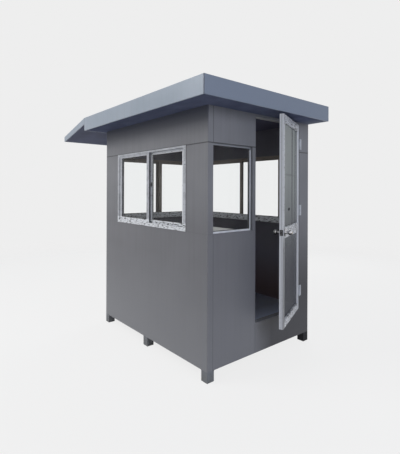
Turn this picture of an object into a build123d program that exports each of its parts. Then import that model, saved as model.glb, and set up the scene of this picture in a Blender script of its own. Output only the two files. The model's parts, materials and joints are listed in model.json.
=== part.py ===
from build123d import *
import os

# Security guard booth: a small cabin of clad wall panels on six steel feet, with sliding windows on
# three sides, a fixed light and a glazed door on the fourth, and a flat roof that runs out into a
# sloping visor. Millimetres. The origin is on the ground at the corner between the front wall and
# the door end: the cabin lies along -X and +Y from it, the door opens towards +X.

# ---------------------------------------------------------------- driving sizes
CABIN_LENGTH = 2000
CABIN_WIDTH = 1510
WALL = 65

FOOT = 80
FOOT_HEIGHT = 97
MIDDLE_FOOT_OFFSET = 31
FLOOR_TOP = 390
DECK_THICKNESS = 25
JOIST_WIDTH = 60
JOIST_DEPTH = 120
JOIST_COUNT = 4

SILL = 1307
HEAD = 2122
EAVES = 2450
FRONT_PIER = 315
BACK_PIER_VISOR_END = 234
BACK_PIER_DOOR_END = 286
END_PIER_NEAR = 75
END_PIER_FAR = 35

SEAM_WIDTH = 4
SEAM_DEPTH = 4

FRAME_DEPTH = 60
FRAME_PROUD = 3
FRAME_LIP = 5
FRAME_WEB = 6
FRAME_JAMB = 40
FRAME_HEAD = 20
FRAME_SILL = 38
SASH_DEPTH = 20
SASH_STILE = 58
MEETING_STILE = 47
SASH_TOP_RAIL = 26
SASH_BOTTOM_RAIL = 31
SASH_PLAY = 4
SASH_ENTRY = 12
GLASS = 5
GLASS_BITE = 8

SIDE_LIGHT = 512
SIDE_LIGHT_RAIL = 17
SIDE_LIGHT_JAMB = 12
SIDE_LIGHT_DEPTH = 20
SIDE_LIGHT_RECESS = 26
MULLION = 45

COUNTER_BELOW_SILL = 5
COUNTER_THICKNESS = 25
COUNTER_DEPTH = 480
BRACKET_HEIGHT = 260
BRACKET_REACH = 400
BRACKET_THICKNESS = 30
BRACKET_COUNT = 3

DOORWAY_WIDTH = 723
DOOR_GAP = 5
DOOR_THICKNESS = 40
DOOR_STILE = 45
DOOR_TOP_RAIL = 70
DOOR_MID_RAIL = 96
DOOR_MID_RAIL_CENTRE = 1296
DOOR_BOTTOM_RAIL = 68
DOOR_HEAD = 27
DOOR_AJAR = 24
STOP_THICKNESS = 18
STOP_WIDTH = 12

HINGE_HEIGHTS = (590, 1480, 2210)
HINGE_LENGTH = 114
HINGE_STAND_OFF = 9
KNUCKLE_RADIUS = 7.5
HINGE_PIN_RADIUS = 4
HINGE_PIN_CLEARANCE = 0.1
KNUCKLE_GAP = 0.5
HINGE_PLATE = 34
HINGE_PLATE_THICKNESS = 3
KNUCKLE_WEB_START = 1

KNOB_ABOVE_RAIL_CENTRE = 4
KNOB_BACKSET = 60
KNOB_RADIUS = 25
KNOB_LENGTH = 34
KNOB_FACE_RADIUS = 15
KNOB_NECK_RADIUS = 10
KNOB_NECK_LENGTH = 26
KNOB_COLLAR_RADIUS = 14
KNOB_GAP = 1
SPINDLE_RADIUS = 8
SPINDLE_CLEARANCE = 0.1
SPINDLE_BORE_RADIUS = 13
ROSE_RADIUS = 35
ROSE_THICKNESS = 6
ROSE_EDGE = 2

ROOF_HEIGHT = 160
FRONT_EAVE = 262
BACK_EAVE = 5
DOOR_END_EAVE = 252
VISOR_END_EAVE = 100
FASCIA = 12
ROOF_SHEET = 12
DECK_DROP = 8
VISOR_RUN = 710
VISOR_FALL = 167
VISOR_ROOT_DEPTH = 76
VISOR_TIP_DEPTH = 66
VISOR_SHEET = 8

# ---------------------------------------------------------------- places worked out from them
RIGHT = 0
LEFT = -CABIN_LENGTH
FRONT = 0
BACK = CABIN_WIDTH
INNER_RIGHT = RIGHT - WALL
INNER_LEFT = LEFT + WALL
INNER_FRONT = FRONT + WALL
INNER_BACK = BACK - WALL
MID_X = (LEFT + RIGHT) / 2

SIDE_LIGHT_END = INNER_FRONT + SIDE_LIGHT
DOORWAY_START = SIDE_LIGHT_END + MULLION
DOORWAY_END = DOORWAY_START + DOORWAY_WIDTH
ROOF_TOP = EAVES + ROOF_HEIGHT
COUNTER_TOP = SILL - COUNTER_BELOW_SILL

FRONT_WINDOW = (LEFT + FRONT_PIER, RIGHT - FRONT_PIER)
BACK_WINDOW = (LEFT + BACK_PIER_VISOR_END, RIGHT - BACK_PIER_DOOR_END)
END_WINDOW = (INNER_FRONT + END_PIER_NEAR, INNER_BACK - END_PIER_FAR)

HINGE_X = RIGHT + HINGE_STAND_OFF
HINGE_Y = DOORWAY_END - DOOR_GAP / 2
HINGE_AXIS = Axis((HINGE_X, HINGE_Y, 0), (0, 0, 1))


# ---------------------------------------------------------------- helpers
def block(x, y, z):
    """A box between two corners, each given as a (low, high) pair along X, Y and Z."""
    size = [abs(pair[1] - pair[0]) for pair in (x, y, z)]
    low = [min(pair) for pair in (x, y, z)]
    return Pos(*low) * Box(*size, align=(Align.MIN, Align.MIN, Align.MIN))


def rod(radius, point, length, direction=(0, 0, 1)):
    """A cylinder that starts at a point and runs along a direction."""
    return Plane(origin=point, z_dir=direction) * Cylinder(
        radius, length, align=(Align.CENTER, Align.CENTER, Align.MIN)
    )


def save(node, *solids):
    """Write one node, whose solids are separate pieces of the same kind."""
    shape = solids[0] if len(solids) == 1 else Compound(children=list(solids))
    export_step(shape, f"parts/{node}.step")


# ---------------------------------------------------------------- feet and floor
def feet():
    """Square steel feet: one flush with each corner and one near the middle of each long wall."""
    middle = MID_X - MIDDLE_FOOT_OFFSET
    columns = ((LEFT, LEFT + FOOT), (middle - FOOT / 2, middle + FOOT / 2), (RIGHT - FOOT, RIGHT))
    rows = ((FRONT, FRONT + FOOT), (BACK - FOOT, BACK))
    return [block(x, y, (0, FOOT_HEIGHT)) for x in columns for y in rows]


def floor_deck():
    """The floor board, let in between the four walls."""
    return block((INNER_LEFT, INNER_RIGHT), (INNER_FRONT, INNER_BACK), (FLOOR_TOP - DECK_THICKNESS, FLOOR_TOP))


def floor_joists():
    """Joists under the deck, from the front wall to the back wall, evenly spaced."""
    pitch = (INNER_RIGHT - INNER_LEFT - JOIST_WIDTH) / (JOIST_COUNT - 1)
    under_deck = FLOOR_TOP - DECK_THICKNESS
    starts = [INNER_LEFT + i * pitch for i in range(JOIST_COUNT)]
    return [
        block((x, x + JOIST_WIDTH), (INNER_FRONT, INNER_BACK), (under_deck - JOIST_DEPTH, under_deck))
        for x in starts
    ]


# ---------------------------------------------------------------- walls
def seam_grooves():
    """The open joints between the panels, as bars that are cut from every wall piece."""
    half = SEAM_WIDTH / 2
    bars = []
    for level in (SILL, HEAD):
        z = (level - half, level + half)
        bars.append(block((LEFT, RIGHT), (FRONT, FRONT + SEAM_DEPTH), z))
        bars.append(block((LEFT, RIGHT), (BACK - SEAM_DEPTH, BACK), z))
        bars.append(block((LEFT, LEFT + SEAM_DEPTH), (FRONT, BACK), z))
        bars.append(block((RIGHT - SEAM_DEPTH, RIGHT), (FRONT, DOORWAY_START), z))
    strip_head = (HEAD - half, HEAD + half)
    bars.append(block((RIGHT - SEAM_DEPTH, RIGHT), (DOORWAY_END, BACK), strip_head))
    full_height = (FOOT_HEIGHT, EAVES)
    for y in (INNER_FRONT, INNER_BACK):
        bars.append(block((LEFT, LEFT + SEAM_DEPTH), (y - half, y + half), full_height))
    bars.append(block((RIGHT - SEAM_DEPTH, RIGHT), (INNER_FRONT - half, INNER_FRONT + half), full_height))
    bars.append(block((INNER_RIGHT - half, INNER_RIGHT + half), (BACK - SEAM_DEPTH, BACK), full_height))
    under_doorway = (FOOT_HEIGHT, FLOOR_TOP)
    bars.append(
        block((RIGHT - SEAM_DEPTH, RIGHT), (DOORWAY_START - half, DOORWAY_START + half), under_doorway)
    )
    return bars


GROOVES = seam_grooves()


def wall(x, y, z):
    """One wall panel of the full thickness, with its half of each open joint cut from its edges."""
    return block(x, y, z) - GROOVES


def long_wall(x, y, window):
    """Lower panel, the two piers beside the window, and upper panel of a long wall."""
    lower = wall(x, y, (FOOT_HEIGHT, SILL))
    piers = [wall((x[0], window[0]), y, (SILL, HEAD)), wall((window[1], x[1]), y, (SILL, HEAD))]
    upper = wall(x, y, (HEAD, EAVES))
    return lower, piers, upper


def visor_end_wall():
    """Lower panel, piers and upper panel of the end wall under the visor."""
    x = (LEFT, INNER_LEFT)
    y = (INNER_FRONT, INNER_BACK)
    lower = wall(x, y, (FOOT_HEIGHT, SILL))
    piers = [wall(x, (y[0], END_WINDOW[0]), (SILL, HEAD)), wall(x, (END_WINDOW[1], y[1]), (SILL, HEAD))]
    upper = wall(x, y, (HEAD, EAVES))
    return lower, piers, upper


# ---------------------------------------------------------------- windows
def glazed(opening, along, thickness_range, heights):
    """A pane that bites into the members round its opening. Opening is the range along the wall."""
    wide = (opening[0] - GLASS_BITE, opening[1] + GLASS_BITE)
    tall = (heights[0] - GLASS_BITE, heights[1] + GLASS_BITE)
    return block(wide, thickness_range, tall) if along == "x" else block(thickness_range, wide, tall)


def window_tracks():
    """Depth ranges of the outer and inner sash channels, behind the outer, middle and inner lips."""
    channel = (FRAME_DEPTH - 3 * FRAME_LIP) / 2
    outer = (FRAME_LIP - FRAME_PROUD, FRAME_LIP - FRAME_PROUD + channel)
    inner = (outer[1] + FRAME_LIP, outer[1] + FRAME_LIP + channel)
    return outer, inner


def window_frame(width):
    """An aluminium frame with two sash channels all round. Local X runs along the wall, Y inwards."""
    half = width / 2
    depth = (-FRAME_PROUD, FRAME_DEPTH - FRAME_PROUD)
    ring = block((-half, half), depth, (SILL, HEAD))
    daylight = block(
        (-half + FRAME_JAMB, half - FRAME_JAMB), depth, (SILL + FRAME_SILL, HEAD - FRAME_HEAD)
    )
    channels = [
        block((-half + FRAME_WEB, half - FRAME_WEB), track, (SILL + FRAME_WEB, HEAD - FRAME_WEB))
        for track in window_tracks()
    ]
    return ring - daylight - channels


def sash(x, track, stiles):
    """A sliding sash that stands on the web of its channel, and its pane, held in a groove."""
    middle = sum(track) / 2
    y = (middle - SASH_DEPTH / 2, middle + SASH_DEPTH / 2)
    z = (SILL + FRAME_WEB, HEAD - FRAME_WEB - SASH_PLAY)
    opening_x = (x[0] + stiles[0], x[1] - stiles[1])
    opening_z = (SILL + FRAME_SILL + SASH_BOTTOM_RAIL, HEAD - FRAME_HEAD - SASH_TOP_RAIL)
    pane = glazed(opening_x, "x", (middle - GLASS / 2, middle + GLASS / 2), opening_z)
    return block(x, y, z) - block(opening_x, y, opening_z) - pane, pane


def sliding_window(width):
    """Frame, two sashes, one in each channel, and their glass. The outer sash is on the local left and
    its meeting stile stands over the middle, so that it laps half of the inner sash's."""
    half = width / 2
    outer, inner = window_tracks()
    edge = half - FRAME_JAMB + SASH_ENTRY
    hidden_stile = SASH_ENTRY + SASH_STILE
    left_sash, left_glass = sash((-edge, MEETING_STILE / 2), outer, (hidden_stile, MEETING_STILE))
    right_sash, right_glass = sash((0, edge), inner, (MEETING_STILE, hidden_stile))
    return window_frame(width), [left_sash, right_sash], [left_glass, right_glass]


def side_light():
    """The narrow fixed light beside the doorway: a slim frame set back in the wall, and one pane."""
    x = (RIGHT - SIDE_LIGHT_RECESS - SIDE_LIGHT_DEPTH, RIGHT - SIDE_LIGHT_RECESS)
    y = (INNER_FRONT, SIDE_LIGHT_END)
    z = (SILL, HEAD)
    opening_y = (y[0] + SIDE_LIGHT_JAMB, y[1] - SIDE_LIGHT_JAMB)
    opening_z = (z[0] + SIDE_LIGHT_RAIL, z[1] - SIDE_LIGHT_RAIL)
    middle = sum(x) / 2
    pane = glazed(opening_y, "y", (middle - GLASS / 2, middle + GLASS / 2), opening_z)
    return block(x, y, z) - block(x, opening_y, opening_z) - pane, pane


# ---------------------------------------------------------------- counter
def counter_top():
    """The writing shelf along the front wall, at sill height."""
    return block(
        (INNER_LEFT, INNER_RIGHT),
        (INNER_FRONT, INNER_FRONT + COUNTER_DEPTH),
        (COUNTER_TOP - COUNTER_THICKNESS, COUNTER_TOP),
    )


def counter_brackets():
    """Triangular brackets on the front wall that carry the counter."""
    underside = COUNTER_TOP - COUNTER_THICKNESS
    outline = Plane.YZ * make_face(
        Polyline(
            (INNER_FRONT, underside),
            (INNER_FRONT + BRACKET_REACH, underside),
            (INNER_FRONT, underside - BRACKET_HEIGHT),
            close=True,
        )
    )
    bay = (INNER_RIGHT - INNER_LEFT) / BRACKET_COUNT
    centres = [INNER_LEFT + bay * (i + 0.5) for i in range(BRACKET_COUNT)]
    return [Pos(X=x - BRACKET_THICKNESS / 2) * extrude(outline, BRACKET_THICKNESS) for x in centres]


# ---------------------------------------------------------------- roof
def flat_roof():
    """Fascias round the flat roof, the soffit sheet and the deck sheet between them."""
    x = (LEFT - VISOR_END_EAVE, RIGHT + DOOR_END_EAVE)
    y = (FRONT - FRONT_EAVE, BACK + BACK_EAVE)
    z = (EAVES, ROOF_TOP)
    inside_x = (x[0] + FASCIA, x[1] - FASCIA)
    inside_y = (y[0] + FASCIA, y[1] - FASCIA)
    deck_top = ROOF_TOP - DECK_DROP
    return {
        "front_fascia": block(x, (y[0], inside_y[0]), z),
        "back_fascia": block(x, (inside_y[1], y[1]), z),
        "door_end_fascia": block((inside_x[1], x[1]), inside_y, z),
        "visor_end_fascia": block((x[0], inside_x[0]), inside_y, z),
        "roof_soffit": block(inside_x, inside_y, (EAVES, EAVES + ROOF_SHEET)),
        "roof_deck": block(inside_x, inside_y, (deck_top - ROOF_SHEET, deck_top)),
    }


def visor_top(run):
    """Height of the visor's upper line at a run out from the roof's end."""
    return ROOF_TOP - VISOR_FALL * run / VISOR_RUN


def visor_underside(run):
    """Height of the visor's lower line, which closes on the upper one towards the tip."""
    return visor_top(run) - VISOR_ROOT_DEPTH + (VISOR_ROOT_DEPTH - VISOR_TIP_DEPTH) * run / VISOR_RUN


def visor_slice(run, y, upper, lower):
    """A piece of the sloping visor over a range of its run. Upper and lower are each one of its two
    lines with an offset in height."""
    start = LEFT - VISOR_END_EAVE
    corners = [
        (start - run[0], upper[0](run[0]) + upper[1]),
        (start - run[1], upper[0](run[1]) + upper[1]),
        (start - run[1], lower[0](run[1]) + lower[1]),
        (start - run[0], lower[0](run[0]) + lower[1]),
    ]
    outline = Plane.XZ * make_face(Polyline(*corners, close=True))
    return Pos(Y=y[1]) * extrude(outline, y[1] - y[0])


def visor():
    """Side and tip trims with the top and bottom sheets between them."""
    y = (FRONT - FRONT_EAVE, BACK + BACK_EAVE)
    inside_y = (y[0] + FASCIA, y[1] - FASCIA)
    top, underside = (visor_top, 0), (visor_underside, 0)
    inside_run = (0, VISOR_RUN - FASCIA)
    side_trims = [
        visor_slice((0, VISOR_RUN), (y[0], inside_y[0]), top, underside),
        visor_slice((0, VISOR_RUN), (inside_y[1], y[1]), top, underside),
    ]
    tip = visor_slice((VISOR_RUN - FASCIA, VISOR_RUN), inside_y, top, underside)
    top_sheet = visor_slice(inside_run, inside_y, top, (visor_top, -VISOR_SHEET))
    bottom_sheet = visor_slice(inside_run, inside_y, (visor_underside, VISOR_SHEET), underside)
    return side_trims, tip, top_sheet, bottom_sheet


# ---------------------------------------------------------------- door
DOOR_X = (RIGHT - DOOR_THICKNESS, RIGHT)
DOOR_Y = (DOORWAY_START + DOOR_GAP, DOORWAY_END - DOOR_GAP)
DOOR_Z = (FLOOR_TOP + DOOR_GAP, EAVES - DOOR_HEAD - DOOR_GAP)
DOOR_INSIDE_Y = (DOOR_Y[0] + DOOR_STILE, DOOR_Y[1] - DOOR_STILE)
KNOB_Y = DOOR_Y[0] + KNOB_BACKSET
KNOB_HEIGHT = DOOR_MID_RAIL_CENTRE + KNOB_ABOVE_RAIL_CENTRE


def ajar(shape):
    """Turn a piece of the closed door about the hinge pins to where the door stands open."""
    return shape.rotate(HINGE_AXIS, DOOR_AJAR)


def door_leaf():
    """Stiles, rails and panes of the door, drawn closed. The panes sit in grooves of the members."""
    bore = rod(SPINDLE_BORE_RADIUS, (DOOR_X[0], KNOB_Y, KNOB_HEIGHT), DOOR_THICKNESS, (1, 0, 0))
    top_z = (DOOR_Z[1] - DOOR_TOP_RAIL, DOOR_Z[1])
    mid_z = (DOOR_MID_RAIL_CENTRE - DOOR_MID_RAIL / 2, DOOR_MID_RAIL_CENTRE + DOOR_MID_RAIL / 2)
    bottom_z = (DOOR_Z[0], DOOR_Z[0] + DOOR_BOTTOM_RAIL)
    middle = sum(DOOR_X) / 2
    pane_x = (middle - GLASS / 2, middle + GLASS / 2)
    panes = [
        glazed(DOOR_INSIDE_Y, "y", pane_x, heights)
        for heights in ((bottom_z[1], mid_z[0]), (mid_z[1], top_z[0]))
    ]
    stiles = [
        block(DOOR_X, (DOOR_Y[0], DOOR_INSIDE_Y[0]), DOOR_Z) - bore - panes,
        block(DOOR_X, (DOOR_INSIDE_Y[1], DOOR_Y[1]), DOOR_Z) - panes,
    ]
    rails = [block(DOOR_X, DOOR_INSIDE_Y, z) - bore - panes for z in (top_z, mid_z, bottom_z)]
    return stiles, rails, panes


def hinge(height):
    """Cabin half and door half of one surface hinge: the cabin half has two knuckles and the pin."""
    third = HINGE_LENGTH / 3
    bottom = height - HINGE_LENGTH / 2
    z = (bottom, bottom + HINGE_LENGTH)
    plate_x = (RIGHT, RIGHT + HINGE_PLATE_THICKNESS)
    clear = KNUCKLE_RADIUS + KNUCKLE_WEB_START
    cabin = block(plate_x, (HINGE_Y + clear, HINGE_Y + HINGE_PLATE), z)
    for low in (bottom, bottom + 2 * third):
        cabin += rod(KNUCKLE_RADIUS, (HINGE_X, HINGE_Y, low), third)
        cabin += block(plate_x, (HINGE_Y + KNUCKLE_WEB_START, HINGE_Y + clear), (low, low + third))
    cabin += rod(HINGE_PIN_RADIUS, (HINGE_X, HINGE_Y, bottom), HINGE_LENGTH)
    middle = (bottom + third + KNUCKLE_GAP, bottom + 2 * third - KNUCKLE_GAP)
    door = block(plate_x, (HINGE_Y - HINGE_PLATE, HINGE_Y - clear), z)
    door += rod(KNUCKLE_RADIUS, (HINGE_X, HINGE_Y, middle[0]), middle[1] - middle[0])
    door += block(plate_x, (HINGE_Y - clear, HINGE_Y - KNUCKLE_WEB_START), middle)
    door -= rod(HINGE_PIN_RADIUS + HINGE_PIN_CLEARANCE, (HINGE_X, HINGE_Y, bottom), HINGE_LENGTH)
    return cabin, door


def knob_roses():
    """The round plates on both faces of the lock stile, with a softened rim, bored for the spindle."""
    bore = rod(
        SPINDLE_RADIUS + SPINDLE_CLEARANCE,
        (DOOR_X[0] - ROSE_THICKNESS, KNOB_Y, KNOB_HEIGHT),
        DOOR_THICKNESS + 2 * ROSE_THICKNESS,
        (1, 0, 0),
    )
    roses = []
    for face, direction in ((DOOR_X[1], 1), (DOOR_X[0], -1)):
        plate = rod(ROSE_RADIUS, (face, KNOB_Y, KNOB_HEIGHT), ROSE_THICKNESS, (direction, 0, 0))
        rim = plate.edges().filter_by(GeomType.CIRCLE).sort_by(Axis.X)[-1 if direction > 0 else 0]
        roses.append(fillet(rim, ROSE_EDGE) - bore)
    return roses


def turned_knob():
    """One knob as it leaves the lathe, along local Z: a collar, a waisted neck and a ball that ends
    in a flat face."""
    reach = KNOB_NECK_LENGTH + KNOB_LENGTH
    foot = (KNOB_COLLAR_RADIUS, 0)
    shoulder = (KNOB_COLLAR_RADIUS, KNOB_NECK_LENGTH)
    face = (KNOB_FACE_RADIUS, reach)
    outline = make_face([
        Line((0, 0), foot),
        ThreePointArc(foot, (KNOB_NECK_RADIUS, KNOB_NECK_LENGTH / 2), shoulder),
        ThreePointArc(shoulder, (KNOB_RADIUS, KNOB_NECK_LENGTH + KNOB_LENGTH / 2), face),
        Line(face, (0, reach)),
        Line((0, reach), (0, 0)),
    ])
    return revolve(Plane.XZ * outline, Axis.Z)


def door_knobs():
    """Two turned knobs on one spindle, free to turn in the roses."""
    inner_face = DOOR_X[0] - ROSE_THICKNESS - KNOB_GAP
    outer_face = DOOR_X[1] + ROSE_THICKNESS + KNOB_GAP
    knobs = rod(SPINDLE_RADIUS, (inner_face, KNOB_Y, KNOB_HEIGHT), outer_face - inner_face, (1, 0, 0))
    for face, direction in ((outer_face, 1), (inner_face, -1)):
        knobs += Plane(origin=(face, KNOB_Y, KNOB_HEIGHT), z_dir=(direction, 0, 0)) * turned_knob()
    return knobs


# ---------------------------------------------------------------- write the parts
os.makedirs("parts", exist_ok=True)

save("feet", *feet())
save("floor_joists", *floor_joists())
save("floor_deck", floor_deck())

for side, x, y, window in (
    ("front", (LEFT, RIGHT), (FRONT, INNER_FRONT), FRONT_WINDOW),
    ("back", (LEFT, INNER_RIGHT), (INNER_BACK, BACK), BACK_WINDOW),
):
    lower, piers, upper = long_wall(x, y, window)
    save(f"{side}_lower_wall", lower)
    save(f"{side}_window_piers", *piers)
    save(f"{side}_upper_wall", upper)

lower, piers, upper = visor_end_wall()
save("visor_end_lower_wall", lower)
save("visor_end_window_piers", *piers)
save("visor_end_upper_wall", upper)

DOOR_WALL = (INNER_RIGHT, RIGHT)
save("side_light_lower_wall", wall(DOOR_WALL, (INNER_FRONT, DOORWAY_START), (FOOT_HEIGHT, SILL)))
save("side_light_upper_wall", wall(DOOR_WALL, (INNER_FRONT, DOORWAY_START), (HEAD, EAVES)))
save("doorway_mullion", wall(DOOR_WALL, (SIDE_LIGHT_END, DOORWAY_START), (SILL, HEAD)))
save("doorway_sill_wall", wall(DOOR_WALL, (DOORWAY_START, DOORWAY_END), (FOOT_HEIGHT, FLOOR_TOP)))
save("hinge_side_wall", wall(DOOR_WALL, (DOORWAY_END, BACK), (FOOT_HEIGHT, HEAD)))
save("hinge_side_upper_wall", wall(DOOR_WALL, (DOORWAY_END, BACK), (HEAD, EAVES)))
save("doorway_head", block(DOOR_WALL, (DOORWAY_START, DOORWAY_END), (EAVES - DOOR_HEAD, EAVES)))
STOP_X = (INNER_RIGHT, INNER_RIGHT + STOP_THICKNESS)
STOP_Z = (FLOOR_TOP, EAVES - DOOR_HEAD)
save(
    "door_stops",
    block(STOP_X, (DOORWAY_START, DOORWAY_START + STOP_WIDTH), STOP_Z),
    block(STOP_X, (DOORWAY_END - STOP_WIDTH, DOORWAY_END), STOP_Z),
)

for side, window, place in (
    ("front", FRONT_WINDOW, Location((sum(FRONT_WINDOW) / 2, FRONT, 0), (0, 0, 0))),
    ("back", BACK_WINDOW, Location((sum(BACK_WINDOW) / 2, BACK, 0), (0, 0, 180))),
    ("visor_end", END_WINDOW, Location((LEFT, sum(END_WINDOW) / 2, 0), (0, 0, -90))),
):
    frame, sashes, glass = sliding_window(window[1] - window[0])
    if side != "front":
        sashes = [mirror(piece, about=Plane.YZ) for piece in sashes]
        glass = [mirror(piece, about=Plane.YZ) for piece in glass]
    save(f"{side}_window_frame", place * frame)
    save(f"{side}_window_sashes", *[place * piece for piece in sashes])
    save(f"{side}_window_glass", *[place * piece for piece in glass])

frame, pane = side_light()
save("side_light_frame", frame)
save("side_light_glass", pane)

save("counter_top", counter_top())
save("counter_brackets", *counter_brackets())

for node, piece in flat_roof().items():
    save(node, piece)
side_trims, tip, top_sheet, bottom_sheet = visor()
save("visor_side_trims", *side_trims)
save("visor_tip_trim", tip)
save("visor_top_sheet", top_sheet)
save("visor_bottom_sheet", bottom_sheet)

stiles, rails, panes = door_leaf()
save("door_stiles", *[ajar(piece) for piece in stiles])
save("door_rails", *[ajar(piece) for piece in rails])
save("door_glass", *[ajar(piece) for piece in panes])
hinges = [hinge(height) for height in HINGE_HEIGHTS]
save("cabin_hinge_halves", *[cabin for cabin, door in hinges])
save("door_hinge_halves", *[ajar(door) for cabin, door in hinges])
save("knob_roses", *[ajar(piece) for piece in knob_roses()])
save("door_knobs", ajar(door_knobs()))
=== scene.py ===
import json
import math
import bpy
import numpy as np
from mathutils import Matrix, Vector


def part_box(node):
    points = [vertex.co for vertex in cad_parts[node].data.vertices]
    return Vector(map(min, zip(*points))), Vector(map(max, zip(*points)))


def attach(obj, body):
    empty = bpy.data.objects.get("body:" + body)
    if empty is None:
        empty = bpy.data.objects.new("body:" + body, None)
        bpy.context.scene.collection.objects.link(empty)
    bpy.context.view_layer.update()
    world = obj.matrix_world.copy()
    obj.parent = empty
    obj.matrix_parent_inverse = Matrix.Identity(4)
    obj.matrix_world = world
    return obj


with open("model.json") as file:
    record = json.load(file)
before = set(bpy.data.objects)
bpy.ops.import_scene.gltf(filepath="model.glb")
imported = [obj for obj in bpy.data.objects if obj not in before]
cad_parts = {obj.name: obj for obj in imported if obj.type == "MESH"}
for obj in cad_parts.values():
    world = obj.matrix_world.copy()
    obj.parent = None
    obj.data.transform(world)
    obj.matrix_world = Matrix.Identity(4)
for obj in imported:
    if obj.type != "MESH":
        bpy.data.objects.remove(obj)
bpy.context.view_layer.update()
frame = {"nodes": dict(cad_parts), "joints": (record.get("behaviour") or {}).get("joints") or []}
node = frame["nodes"]

# ---------------------------------------- feet
# Short square posts of steel tube under the corners and the middle of both long walls. Each is
# welded under the wall frame on its inner sides, then brushed with grey paint that the ground has
# dusted and chipped.


def linear(shade):
    """The linear values that shaders mix, from an sRGB hex colour: a value up to 0.04045 is divided
    by 12.92, and any other is ((value + 0.055) / 1.055) to the power 2.4."""
    parts = np.array([int(shade[i:i + 2], 16) for i in (1, 3, 5)]) / 255
    flat = np.where(parts <= 0.04045, parts / 12.92, ((parts + 0.055) / 1.055) ** 2.4)
    return (*map(float, flat), 1.0)


def add(beside, kind, inputs=None, **settings):
    """Adds one node with its settings, to a node tree or to the one that a socket is in. Each input
    is a value, a hex colour, or an output socket to link to it."""
    tree = beside.id_data
    made = tree.nodes.new(kind)
    for name, value in settings.items():
        setattr(made, name, value)
    for name, value in (inputs or {}).items():
        if isinstance(value, bpy.types.NodeSocket):
            tree.links.new(value, made.inputs[name])
        else:
            made.inputs[name].default_value = linear(value) if isinstance(value, str) else value
    return made


def new_finish(name):
    """An empty material, and the socket that gives the place on the object in metres."""
    material = bpy.data.materials.new(name)
    material.use_nodes = True
    material.node_tree.nodes.clear()
    return material, add(material.node_tree, "ShaderNodeTexCoord").outputs["Object"]


def cloudy(place, size, low, high, detail=3.0, first=0.0, last=1.0):
    """Patches of about the given size in metres, one length or one along each axis: noise read at
    the place divided by the size, then stretched so that its levels low and high give the first
    value and the last."""
    sized = add(place, "ShaderNodeMapping", {
        "Vector": place, "Scale": [1 / length for length in np.broadcast_to(size, 3)]})
    noise = add(place, "ShaderNodeTexNoise", {"Vector": sized.outputs[0], "Scale": 1.0, "Detail": detail})
    return add(place, "ShaderNodeMapRange", {
        "Value": noise.outputs["Fac"], "From Min": low, "From Max": high, "To Min": first,
        "To Max": last}).outputs[0]


def fade(place, axis, start, end, first=1.0, last=0.0, course="LINEAR"):
    """A share that goes from its first value to its last between two levels along one axis."""
    level = add(place, "ShaderNodeSeparateXYZ", {"Vector": place}).outputs[axis]
    return add(place, "ShaderNodeMapRange", {
        "Value": level, "From Min": float(start), "From Max": float(end), "To Min": first,
        "To Max": last}, interpolation_type=course).outputs[0]


def product(share, *others):
    """A share multiplied by others, each a number or a socket."""
    for other in others:
        share = add(share, "ShaderNodeMath", {0: share, 1: other}, operation="MULTIPLY").outputs[0]
    return share


def over(under, shade, *shares):
    """A shade laid over another, as thickly as the product of its shares."""
    share = product(*shares)
    return add(share, "ShaderNodeMix", {0: share, 6: under, 7: shade}, data_type="RGBA").outputs[2]


def relief(place, size, strength, depth, low=0.3, high=0.7):
    """The slopes of a finely uneven surface, whose height is patches of the given size."""
    height = cloudy(place, size, low, high)
    return add(place, "ShaderNodeBump", {
        "Height": height, "Strength": strength, "Distance": depth}).outputs[0]


def surface(place, colour, roughness, others=None):
    """Ends a material with its colour, its roughness and any other values of its shader."""
    shader = add(place, "ShaderNodeBsdfPrincipled", {
        "Base Color": colour, "Roughness": roughness, **(others or {})})
    add(place, "ShaderNodeOutputMaterial", {"Surface": shader.outputs[0]})


def coat(material, *names):
    """Gives whole CAD nodes one material."""
    for name in names:
        for place in node[name].material_slots:
            place.material = material


FOOT_PAINT = "#84878C"
FOOT_DUST = "#8B8984"
FOOT_CHIP = "#4A4744"
FOOT_SHADE = "#1F1E22"
FOOT_SHADE_NEAR, FOOT_SHADE_FAR = 0.15, 0.35
foot_low, foot_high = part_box("feet")

# Alkyd paint brushed on steel: half matt, with fine brush lines that run up and down, paler dust low down,
# small dark chips where stones have hit it, and painted shade on the foot beside the doorstep, which stands
# in shadow under the cabin.
brushed_paint, place = new_finish("brushed_alkyd_paint")
painted = over(FOOT_PAINT, FOOT_DUST, fade(place, "Z", 0.0, foot_high.z, 0.9, 0.1),
               cloudy(place, 0.03, 0.3, 0.8))
painted = over(painted, FOOT_CHIP, cloudy(place, 0.012, 0.66, 0.70, 2.0))
from_doorstep = add(place, "ShaderNodeVectorMath", {
    0: place, 1: (foot_high.x, foot_high.y, 0.0)}, operation="DISTANCE")
shaded_foot = add(place, "ShaderNodeMapRange", {
    "Value": from_doorstep.outputs["Value"], "From Min": FOOT_SHADE_NEAR, "From Max": FOOT_SHADE_FAR,
    "To Min": 0.95, "To Max": 0.0})
# Painted shade: the foot at the door end's back corner is darkened as if in the shadow under the cabin.
painted = over(painted, FOOT_SHADE, shaded_foot.outputs[0])
brush_lines = relief(place, (0.004, 0.004, 0.12), 0.3, 0.0005, 0.2, 0.8)
surface(place, painted, 0.7, {"Specular IOR Level": 0.2, "Normal": brush_lines})
coat(brushed_paint, "feet")


def facing_out(points, groups):
    """A closed shape whose faces point outwards. Its volume is the sum, over triangles fanned from
    each face's first corner, of one corner's dot product with the cross product of the other two,
    over six; where that is negative every face is turned over."""
    fans = np.concatenate([
        np.stack([group[:, [0] * (group.shape[1] - 2)], group[:, 1:-1], group[:, 2:]], -1).reshape(-1, 3)
        for group in groups])
    a, b, c = points[fans].transpose(1, 0, 2)
    volume = (a * np.cross(b, c)).sum() / 6
    return points, groups if volume > 0 else [group[:, ::-1] for group in groups]


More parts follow.
